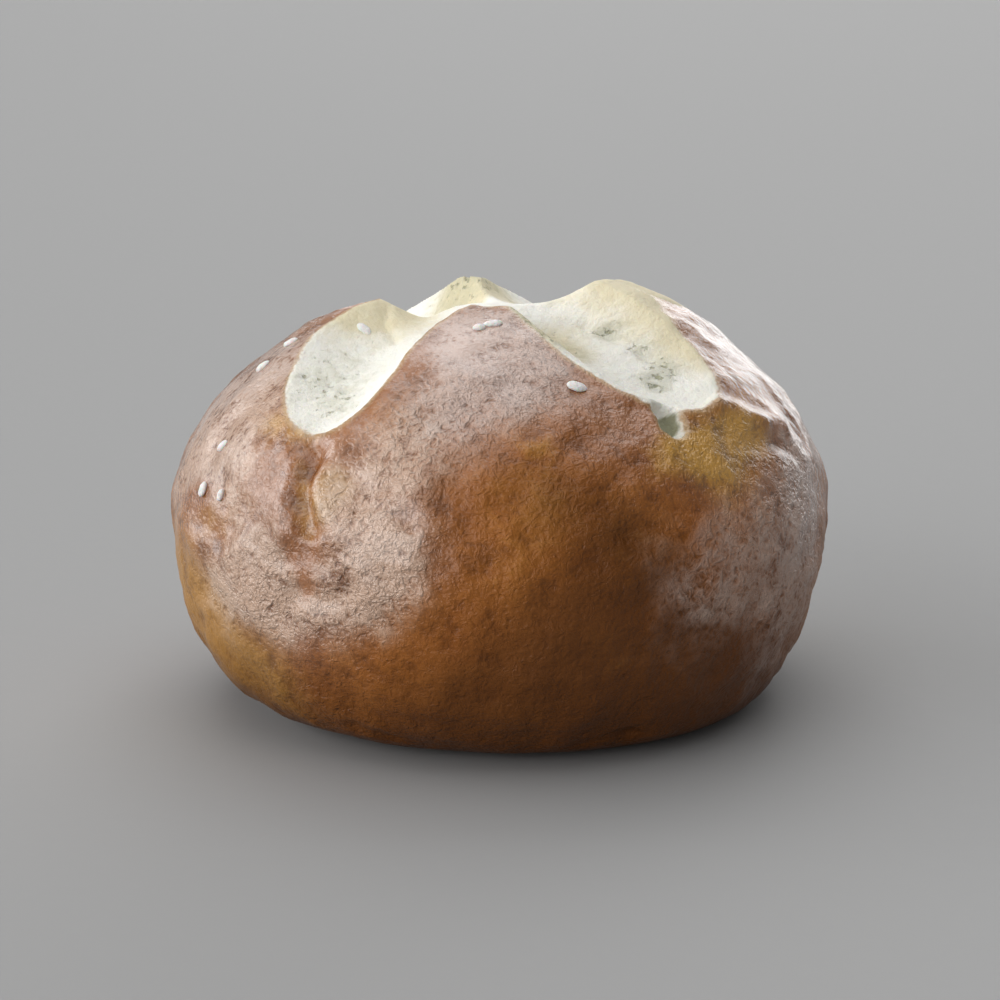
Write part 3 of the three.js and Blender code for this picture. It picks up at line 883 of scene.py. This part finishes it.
def crust_shader(tree, settings, place, inside):
    """Browned crust: mottled chestnut, with painted shade in its creases and a pale painted sheen on its
    crests. Some of it is dry and some is glazed."""
    painted = tree.attribute
    colours = {name: (*getattr(settings, name), 1) for name in CRUST_COLOURS}
    broad = tree.noise(place, PATCH_SIZE, detail=3)
    fine = tree.noise(place, MOTTLE_SIZE, detail=5, roughness=0.7, distortion=0.5)
    breaks = 0.14 * broad + 0.12 * fine
    # where sheen is painted; the crinkles are made stronger there
    sheen_area = tree.step(painted("bloom") + painted("mist") + breaks, 0.1, 0.9)
    fold = leather(tree, place, FOLD_SIZE)
    wrinkle = 0.9 * fold + (0.3 + 0.35 * sheen_area) * crinkles(tree, place, CRINKLE_SIZE)
    shade = tree.mix(colours["chestnut"], colours["toffee"], 0.4 + 0.4 * broad + 0.3 * fine)
    shade = tree.mix(shade, colours["umber"], 0.8 * tree.step(painted("dark") + breaks, 0.05, 1))
    shade = tree.mix(shade, colours["amber"], 0.75 * tree.step(painted("amber") + breaks, 0.05, 0.9))
    shade = tree.mix(shade, colours["gold"], 0.9 * tree.step(painted("gold") + 2 * breaks, 0.1, 1.1))
    # painted shade in the hollows of the wrinkles
    shade = tree.mix(shade, colours["umber"], 0.5 * tree.step(wrinkle + 0.3 * fine, -0.05, -0.6))
    # darker towards the foot
    low = tree.step(painted("height") + 2 * fine + 2 * broad, 20, 1)
    shade = tree.mix(shade, colours["umber"], 0.95 * low)
    # painted sheen, laid most on the crests of the wrinkles as painted highlights
    for name in ("bloom", "mist"):
        crests = painted(name) * (1 + 1.1 * wrinkle) + breaks
        shade = tree.mix(shade, colours[name], 0.58 * tree.step(crests, 0.1, 1))
    shade = tree.mix(shade, colours["rim"], 0.45 * tree.step(inside + 0.2 * fine, -0.8, -0.1))
    rough = 1 - 0.8 * painted("satin")
    normal = tree.bump(wrinkle * rough, CRUST_BUMP)
    dry, glazed = (
        tree.add(
            "ShaderNodeBsdfPrincipled",
            None,
            {
                "Base Color": shade,
                "Roughness": gloss.roughness + gloss.uneven * fine,
                "Specular IOR Level": gloss.specular,
                "Coat Weight": gloss.coat,
                "Coat Roughness": COAT_ROUGHNESS,
                "Coat IOR": COAT_IOR,
                "Normal": normal,
            },
        )
        for gloss in (DRY, GLAZED)
    )
    glaze = tree.step(painted("glaze") + 0.1 * broad, 0.05, 0.8)
    return tree.add("ShaderNodeMixShader", None, {0: glaze, 1: dry, 2: glazed})


def crumb_shader(tree, settings, place, inside):
    """Pale crumb: cream, buttery on the steep walls, with painted grey green shade deep in the cut and in
    its pores, and painted shade in the tear's narrow gap.
    """
    painted = tree.attribute
    cream, butter, painted_crumb_shade, slot = ((*getattr(settings, name), 1) for name in CRUMB_COLOURS)
    fine = tree.noise(place, CRUMB_MOTTLE_SIZE, detail=4, roughness=0.65)
    broad = tree.noise(place, CRUMB_PATCH_SIZE, detail=3)
    crumb_shade_mask = painted("painted_crumb_shade")
    pores = tree.step(tree.noise(place, FINE_PORE_SIZE, detail=3) + 0.75 * crumb_shade_mask, 0.75, 1.15)
    buttery = tree.step(painted("butter") + 0.2 * broad + 0.1 * fine, 0.1, 0.9)
    shade = tree.mix(cream, butter, 0.8 * buttery)
    shade = tree.mix(shade, butter, 0.1 * tree.step(inside + 0.4 * fine, 0.8, 0.1))
    in_shade = tree.step(crumb_shade_mask + 0.3 * broad + 0.4 * fine, 0.2, 1)
    # painted shade: grey green in the deep parts of the cut and in the pores
    shade = tree.mix(shade, painted_crumb_shade, 0.4 * in_shade + 0.55 * pores)
    # painted shade in the tear's narrow gap
    shade = tree.mix(shade, slot, 0.9 * tree.step(painted("slot") + 0.2 * fine, 0.4, 1))
    inputs = {
        "Base Color": shade,
        "Roughness": 0.7,
        "Specular IOR Level": 0.3,
        "Subsurface Weight": 0.15,
        "Subsurface Radius": (1, 0.7, 0.4),
        "Subsurface Scale": CRUMB_GLOW,
        "Normal": tree.bump(0.7 * fine + 0.3 * broad - pores, CRUMB_BUMP),
    }
    return tree.add("ShaderNodeBsdfPrincipled", None, inputs)


def roll_nodes(tree, settings):
    """Crust outside the cut and crumb inside it, with a ragged edge between them."""
    place = tree.add("ShaderNodeTexCoord", output=3)
    inside = tree.attribute("inside")
    share = tree.step(inside + 0.3 * tree.noise(place, RAGGED_SIZE, detail=3, roughness=0.6), -0.15, 0.25)
    crust = crust_shader(tree, settings, place, inside)
    crumb = crumb_shader(tree, settings, place, inside)
    mixed = tree.add("ShaderNodeMixShader", None, {0: share, 1: crust, 2: crumb})
    tree.add("ShaderNodeOutputMaterial", None, {0: mixed})


class PRETZEL_OT_roll(bpy.types.Operator):
    """Bakes the roll"""

    bl_idname = "pretzel.roll"
    bl_label = "Roll"

    def execute(self, context):
        settings = context.scene.pretzel_roll
        mesh = relief_tree().baked(
            roll_mesh(settings),
            wrinkle_size=settings.wrinkle_size,
            wrinkle_depth=settings.wrinkle_depth,
            pore_size=settings.pore_size,
            pore_depth=settings.pore_depth,
            material=new_material("crust", roll_nodes, settings),
        )
        if not mesh.polygons:
            raise RuntimeError("the roll came out empty")
        roll = new_object("roll", mesh)
        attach(roll, "root")
        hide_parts("pretzel_roll")
        return {"FINISHED"}


# ---------------- the salt's looks


SALT_LUMP_SIZE = 1.1 * MM  # of a grain's unevenness
FROST_SIZE = 0.4 * MM
FROST_BUMP = 0.05 * MM
SALT_GLOW = 0.8 * MM  # how far light goes into a grain


def salt_tree():
    """A pebble on each point, of its size and turned its way, made uneven."""
    inputs = {"Unevenness": "NodeSocketFloat", "Seed": "NodeSocketInt"}
    tree = GeometryTree("salt grains", inputs)
    pebble = tree.add("GeometryNodeMeshIcoSphere", None, {"Radius": 1.0, "Subdivisions": 4})
    turn = tree.attribute("turn", "FLOAT_VECTOR")
    instances = {
        "Points": tree.inputs["Geometry"],
        "Instance": pebble,
        "Rotation": tree.add("FunctionNodeEulerToRotation", None, {0: turn}),
        "Scale": tree.attribute("size", "FLOAT_VECTOR"),
    }
    grains = tree.add("GeometryNodeInstanceOnPoints", None, instances)
    real = tree.add("GeometryNodeRealizeInstances", None, {"Geometry": grains})
    offset = tree.add("ShaderNodeCombineXYZ", None, {"Z": tree.inputs["Seed"]})
    place = tree.vector_math("ADD", {0: tree.add("GeometryNodeInputPosition"), 1: offset})
    uneven = tree.noise(place, SALT_LUMP_SIZE, detail=2, roughness=0.6)
    tree.end(tree.moved_out(real, uneven * tree.inputs["Unevenness"]))
    return tree


def salt_nodes(tree, settings):
    """Near white grains with a frosted, faintly clear body."""
    place = tree.add("ShaderNodeTexCoord", output=3)
    frost = tree.noise(place, FROST_SIZE, detail=3, roughness=0.6)
    dull = tuple(0.82 * part for part in settings.salt)
    inputs = {
        "Base Color": tree.mix((*settings.salt, 1), (*dull, 1), 0.5 + 0.5 * frost),
        "Roughness": 0.4 + 0.1 * frost,
        "Subsurface Weight": 0.3,
        "Subsurface Scale": SALT_GLOW,
        "Normal": tree.bump(frost, FROST_BUMP),
    }
    shader = tree.add("ShaderNodeBsdfPrincipled", None, inputs)
    tree.add("ShaderNodeOutputMaterial", None, {0: shader})


class PRETZEL_OT_salt(bpy.types.Operator):
    """Sprinkles the salt grains on the roll"""

    bl_idname = "pretzel.salt"
    bl_label = "Salt"

    def execute(self, context):
        settings = context.scene.pretzel_salt
        grains = list(all_salt())
        frames = [grain_frame(grain) for grain in grains]
        points = mesh_from([middle for middle, _ in frames])
        paint(points, "turn", [Matrix(axes).to_euler() for _, axes in frames])
        halves = [(grain.length / 2, grain.width / 2, GRAIN_THICKNESS / 2) for grain in grains]
        paint(points, "size", np.array(halves) * MM)
        mesh = salt_tree().baked(
            points,
            unevenness=settings.unevenness,
            seed=settings.seed,
            material=new_material("salt", salt_nodes, settings),
        )
        if not mesh.polygons:
            raise RuntimeError("the salt came out empty")
        salt = new_object("salt_grains", mesh)
        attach(salt, "root")
        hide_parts("pretzel_roll")
        return {"FINISHED"}


# ---------------- the stage


class Softbox(NamedTuple):
    """A large soft light far away: where its middle stands, its width and height in degrees, and how
    bright it is."""

    azimuth: float
    elevation: float
    width: float
    height: float
    brightness: float


SOFTBOXES = (
    Softbox(-90, 88, 60, 60, 1.15),  # above
    Softbox(90, 50, 45, 30, 2.3),  # behind
    Softbox(-158, 18, 96, 36, 3.2),  # a wall on the left
    Softbox(150, 20, 30, 24, 1.5),  # behind on the left
    Softbox(75, 10, 44, 28, 2.9),  # behind on the right
)
SOFTBOX_EDGE = 0.08  # how softly a softbox ends, 1 is the distance to it

CAMERA_ELEVATION = 13.5
CAMERA_DISTANCE = 0.340  # metres from its target
CAMERA_TARGET = (0, 0, 0.026)
CAMERA_SHIFT = 0.011
FLOOR_HALF = 30.0  # metres
FLOOR_GRAIN_SIZE = 3 * MM


def direction_of(azimuth, elevation):
    azimuth, elevation = math.radians(azimuth), math.radians(elevation)
    level = math.cos(elevation)
    return Vector((level * math.cos(azimuth), level * math.sin(azimuth), math.sin(elevation)))


def stood(name, data, direction, distance):
    """An object that stands in a direction from the roll and looks at it."""
    made = new_object(name, data)
    made.location = Vector(CAMERA_TARGET) + direction * distance
    made.rotation_euler = (-direction).to_track_quat("-Z", "Y").to_euler()
    return made


def softbox(tree, ray, box):
    """The brightness of one softbox along a ray."""
    middle = direction_of(box.azimuth, box.elevation)
    side = middle.cross((0, 0, 1)).normalized()
    seen = box.brightness
    for axis, angle in ((side, box.width), (side.cross(middle), box.height)):
        edge = math.sin(math.radians(angle / 2))
        aside = abs(tree.dot(ray, axis))
        seen = seen * tree.step(aside, edge + SOFTBOX_EDGE / 2, edge - SOFTBOX_EDGE / 2)
    return seen * tree.step(tree.dot(ray, middle), 0, SOFTBOX_EDGE)


def studio_nodes(tree, settings):
    """Even light from all round, and the softboxes."""
    ray = tree.add("ShaderNodeTexCoord")
    light = settings.ambient
    for box in SOFTBOXES:
        light = light + softbox(tree, ray, box)
    background = tree.add("ShaderNodeBackground", None, {"Strength": light})
    tree.add("ShaderNodeOutputWorld", None, {0: background})


def floor_nodes(tree, settings):
    grain = tree.noise(tree.add("ShaderNodeTexCoord", output=3), FLOOR_GRAIN_SIZE, detail=3)
    inputs = {"Base Color": (*settings.floor, 1), "Roughness": 0.85 + 0.03 * grain}
    shader = tree.add("ShaderNodeBsdfPrincipled", None, inputs)
    tree.add("ShaderNodeOutputMaterial", None, {0: shader})


class PRETZEL_OT_stage(bpy.types.Operator):
    """Sets up the floor, the soft lights and the camera"""

    bl_idname = "pretzel.stage"
    bl_label = "Stage"

    def execute(self, context):
        scene = context.scene
        settings = scene.pretzel_stage
        half = FLOOR_HALF / MM
        corners = [(-half, -half, 0), (half, -half, 0), (half, half, 0), (-half, half, 0)]
        floor = new_object("floor", mesh_from(corners, [(0, 1, 2, 3)]))
        floor.data.materials.append(new_material("floor", floor_nodes, settings))
        studio = bpy.data.worlds.new("studio")
        studio.use_nodes = True
        studio_nodes(Tree(studio.node_tree), settings)
        scene.world = studio
        camera = bpy.data.cameras.new("camera")
        camera.lens = settings.lens
        camera.shift_y = CAMERA_SHIFT
        scene.camera = stood("camera", camera, direction_of(-90, CAMERA_ELEVATION), CAMERA_DISTANCE)
        scene.view_settings.view_transform = "Standard"
        return {"FINISHED"}


class PRETZEL_PT_panel(bpy.types.Panel):
    """Lists the pieces of the pretzel roll"""

    bl_label = "Pretzel Roll"
    bl_idname = "PRETZEL_PT_panel"
    bl_space_type = "VIEW_3D"
    bl_region_type = "UI"
    bl_category = "Pretzel Roll"

    def draw(self, context):
        for operator in OPERATORS:
            self.layout.operator(operator.bl_idname)


OPERATORS = (PRETZEL_OT_roll, PRETZEL_OT_salt, PRETZEL_OT_stage)
SETTINGS = {"pretzel_roll": RollSettings, "pretzel_salt": SaltSettings, "pretzel_stage": StageSettings}
CLASSES = (*SETTINGS.values(), *OPERATORS, PRETZEL_PT_panel)


def register():
    for made in CLASSES:
        bpy.utils.register_class(made)
    for name, group in SETTINGS.items():
        setattr(bpy.types.Scene, name, PointerProperty(type=group))


def unregister():
    for name in SETTINGS:
        delattr(bpy.types.Scene, name)
    for made in reversed(CLASSES):
        bpy.utils.unregister_class(made)


def main():
    register()
    bpy.ops.pretzel.roll()
    bpy.ops.pretzel.salt()
    bpy.ops.pretzel.stage()


if __name__ == "__main__":
    main()
